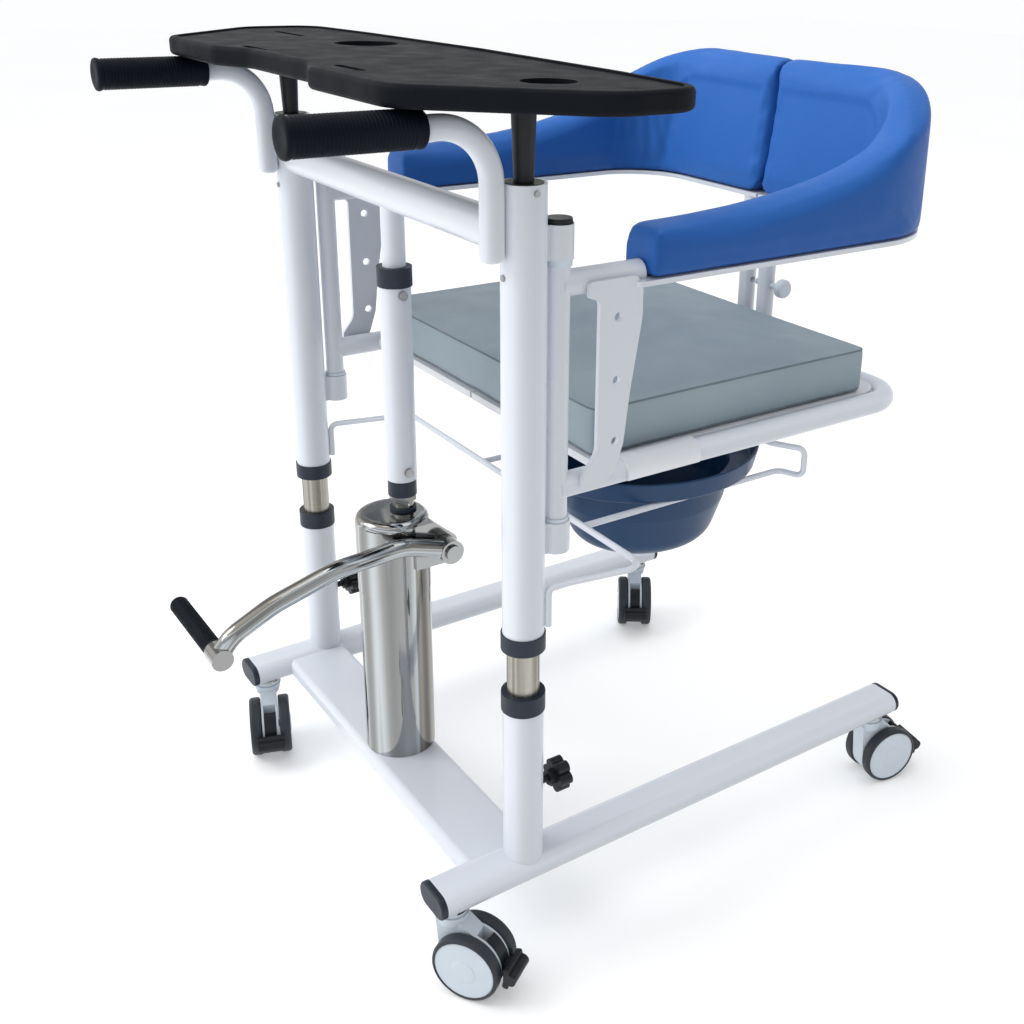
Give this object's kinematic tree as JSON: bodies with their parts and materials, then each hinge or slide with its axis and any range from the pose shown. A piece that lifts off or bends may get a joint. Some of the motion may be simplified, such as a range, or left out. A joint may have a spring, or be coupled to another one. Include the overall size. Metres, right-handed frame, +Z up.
{
  "type": "patient transfer lift chair",
  "caption": "Wheeled hydraulic patient transfer lift with split swing-open seat, padded arm and back halves, tray, commode pan and braked casters.",
  "frame": {"origin": "floor level under the centre of the overall bounding box", "axes": "+Z up, +Y from the push handles towards the seat back, +X to the side with the pump pedal's pivot"},
  "size_m": [0.78, 0.8678, 0.924],
  "materials": {
    "white_enamel": "glossy white powder coat",
    "chrome": "polished chrome",
    "brushed_steel": "brushed stainless",
    "black_plastic": "matte black moulded plastic",
    "ribbed_rubber": "ribbed black rubber",
    "navy_plastic": "dark navy moulded plastic",
    "pan_plastic": "satin navy blue plastic",
    "tray_plastic": "matte charcoal moulded plastic",
    "grey_vinyl": "grey upholstery vinyl",
    "grey_plastic": "light grey moulded plastic",
    "white_plastic": "white moulded plastic",
    "blue_foam": "saturated blue integral-skin foam",
    "tyre_rubber": "dark grey tread with light hub"
  },
  "bodies": {
    "base": {"base_rails": "white_enamel", "cross_beam": "white_enamel", "rail_plugs": "navy_plastic", "caster_stems": "chrome", "lower_columns": "white_enamel", "lower_collars": "navy_plastic", "guide_tubes": "brushed_steel", "pump_body": "chrome", "pump_head": "chrome"},
    "lock_knob_left": {"lock_knob_left": "black_plastic"},
    "lock_knob_right": {"lock_knob_right": "black_plastic"},
    "pedal": {"pedal_lever": "chrome", "pedal_grip": "ribbed_rubber"},
    "carriage": {"upper_columns": "white_enamel", "upper_collars": "navy_plastic", "crossbar": "white_enamel", "handle_tubes": "white_enamel", "handle_grips": "ribbed_rubber", "push_tube": "white_enamel", "push_collars": "navy_plastic", "piston_rod": "chrome", "hinge_sockets": "white_enamel", "tube_caps": "black_plastic", "carriage_screws": "brushed_steel", "pan_rack": "white_enamel"},
    "pan": {"commode_pan": "pan_plastic"},
    "tray": {"tray_top": "tray_plastic", "tray_posts": "black_plastic"},
    "cushion": {"seat_cushion": "grey_vinyl"},
    "seat_right": {"hinge_tube_right": "white_enamel", "arm_frame_right": "white_enamel", "seat_tube_right": "white_enamel", "side_bracket_right": "white_enamel", "seat_board_right": "white_plastic", "armrest_pad_right": "blue_foam"},
    "seat_left": {"hinge_tube_left": "white_enamel", "arm_frame_left": "white_enamel", "seat_tube_left": "white_enamel", "side_bracket_left": "white_enamel", "seat_board_left": "white_plastic", "armrest_pad_left": "blue_foam"},
    "latch": {"latch_knob": "grey_plastic"},
    "caster_front_right": {"caster_yoke_front_right": "grey_plastic"},
    "brake_front_right": {"caster_brake_front_right": "black_plastic"},
    "wheel_a_front_right": {"caster_wheel_a_front_right": "tyre_rubber"},
    "wheel_b_front_right": {"caster_wheel_b_front_right": "tyre_rubber"},
    "caster_rear_right": {"caster_yoke_rear_right": "grey_plastic"},
    "brake_rear_right": {"caster_brake_rear_right": "black_plastic"},
    "wheel_a_rear_right": {"caster_wheel_a_rear_right": "tyre_rubber"},
    "wheel_b_rear_right": {"caster_wheel_b_rear_right": "tyre_rubber"},
    "caster_front_left": {"caster_yoke_front_left": "grey_plastic"},
    "brake_front_left": {"caster_brake_front_left": "black_plastic"},
    "wheel_a_front_left": {"caster_wheel_a_front_left": "tyre_rubber"},
    "wheel_b_front_left": {"caster_wheel_b_front_left": "tyre_rubber"},
    "caster_rear_left": {"caster_yoke_rear_left": "grey_plastic"},
    "brake_rear_left": {"caster_brake_rear_left": "black_plastic"},
    "wheel_a_rear_left": {"caster_wheel_a_rear_left": "tyre_rubber"},
    "wheel_b_rear_left": {"caster_wheel_b_rear_left": "tyre_rubber"}
  },
  "joints": [
    {"name": "lift", "type": "slide", "parent": "base", "child": "carriage", "axis": [0, 0, 1], "range_m": [-0.003, 0.19]},
    {"name": "pedal_hinge", "type": "hinge", "parent": "base", "child": "pedal", "pos_m": [0.055, -0.15536, 0.3905], "axis": [1, 0, 0], "range_deg": [0, 28], "stiffness_Nm_per_rad": 12, "springref_deg": -28.65},
    {"name": "knob_turn_left", "type": "hinge", "parent": "base", "child": "lock_knob_left", "pos_m": [-0.255, -0.14236, 0.2055], "axis": [0, 1, 0], "range_deg": [-180, 180]},
    {"name": "knob_turn_right", "type": "hinge", "parent": "base", "child": "lock_knob_right", "pos_m": [0.255, -0.14236, 0.2055], "axis": [0, 1, 0], "range_deg": [-180, 180]},
    {"name": "pan_slide", "type": "slide", "parent": "carriage", "child": "pan", "axis": [0, 1, 0], "range_m": [0, 0.32]},
    {"name": "tray_lift", "type": "slide", "parent": "carriage", "child": "tray", "axis": [0, 0, 1], "range_m": [0, 0.11]},
    {"name": "cushion_lift", "type": "slide", "parent": "carriage", "child": "cushion", "axis": [0, 0, 1], "range_m": [0, 0.12]},
    {"name": "seat_hinge_right", "type": "hinge", "parent": "carriage", "child": "seat_right", "pos_m": [0.255, -0.14536, 0.5885], "axis": [0, 0, 1], "range_deg": [-90, 0]},
    {"name": "seat_hinge_left", "type": "hinge", "parent": "carriage", "child": "seat_left", "pos_m": [-0.255, -0.14536, 0.5885], "axis": [0, 0, 1], "range_deg": [0, 90]},
    {"name": "latch_slide", "type": "slide", "parent": "seat_right", "child": "latch", "axis": [1, 0, 0], "range_m": [-0.012, 0]},
    {"name": "swivel_front_right", "type": "hinge", "parent": "base", "child": "caster_front_right", "pos_m": [0.255, -0.26836, 0.09], "axis": [0, 0, 1], "continuous": true},
    {"name": "roll_a_front_right", "type": "hinge", "parent": "caster_front_right", "child": "wheel_a_front_right", "pos_m": [0.28576, -0.27074, 0.038], "axis": [-0.5446, 0.8387, 0], "continuous": true},
    {"name": "roll_b_front_right", "type": "hinge", "parent": "caster_front_right", "child": "wheel_b_front_right", "pos_m": [0.26533, -0.23929, 0.038], "axis": [-0.5446, 0.8387, 0], "continuous": true},
    {"name": "brake_hinge_front_right", "type": "hinge", "parent": "caster_front_right", "child": "brake_front_right", "pos_m": [0.29232, -0.24412, 0.058], "axis": [-0.5446, 0.8387, 0], "range_deg": [0, 6]},
    {"name": "swivel_rear_right", "type": "hinge", "parent": "base", "child": "caster_rear_right", "pos_m": [0.255, 0.35264, 0.09], "axis": [0, 0, 1], "continuous": true},
    {"name": "roll_a_rear_right", "type": "hinge", "parent": "caster_rear_right", "child": "wheel_a_rear_right", "pos_m": [0.27772, 0.37351, 0.038], "axis": [-0.9848, 0.1736, 0], "continuous": true},
    {"name": "roll_b_rear_right", "type": "hinge", "parent": "caster_rear_right", "child": "wheel_b_rear_right", "pos_m": [0.24079, 0.38002, 0.038], "axis": [-0.9848, 0.1736, 0], "continuous": true},
    {"name": "brake_hinge_rear_right", "type": "hinge", "parent": "caster_rear_right", "child": "brake_rear_right", "pos_m": [0.26273, 0.39646, 0.058], "axis": [-0.9848, 0.1736, 0], "range_deg": [0, 6]},
    {"name": "swivel_front_left", "type": "hinge", "parent": "base", "child": "caster_front_left", "pos_m": [-0.255, -0.26836, 0.09], "axis": [0, 0, 1], "continuous": true},
    {"name": "roll_a_front_left", "type": "hinge", "parent": "caster_front_left", "child": "wheel_a_front_left", "pos_m": [-0.23839, -0.29436, 0.038], "axis": [0.342, 0.9397, 0], "continuous": true},
    {"name": "roll_b_front_left", "type": "hinge", "parent": "caster_front_left", "child": "wheel_b_front_left", "pos_m": [-0.22556, -0.25912, 0.038], "axis": [0.342, 0.9397, 0], "continuous": true},
    {"name": "brake_hinge_front_left", "type": "hinge", "parent": "caster_front_left", "child": "brake_front_left", "pos_m": [-0.21318, -0.28358, 0.058], "axis": [0.342, 0.9397, 0], "range_deg": [0, 6]},
    {"name": "swivel_rear_left", "type": "hinge", "parent": "base", "child": "caster_rear_left", "pos_m": [-0.255, 0.35264, 0.09], "axis": [0, 0, 1], "continuous": true},
    {"name": "roll_a_rear_left", "type": "hinge", "parent": "caster_rear_left", "child": "wheel_a_rear_left", "pos_m": [-0.24568, 0.32323, 0.038], "axis": [0.5736, 0.8192, 0], "continuous": true},
    {"name": "roll_b_rear_left", "type": "hinge", "parent": "caster_rear_left", "child": "wheel_b_rear_left", "pos_m": [-0.22418, 0.35395, 0.038], "axis": [0.5736, 0.8192, 0], "continuous": true},
    {"name": "brake_hinge_rear_left", "type": "hinge", "parent": "caster_rear_left", "child": "brake_rear_left", "pos_m": [-0.21855, 0.32712, 0.058], "axis": [0.5736, 0.8192, 0], "range_deg": [0, 6]}
  ]
}
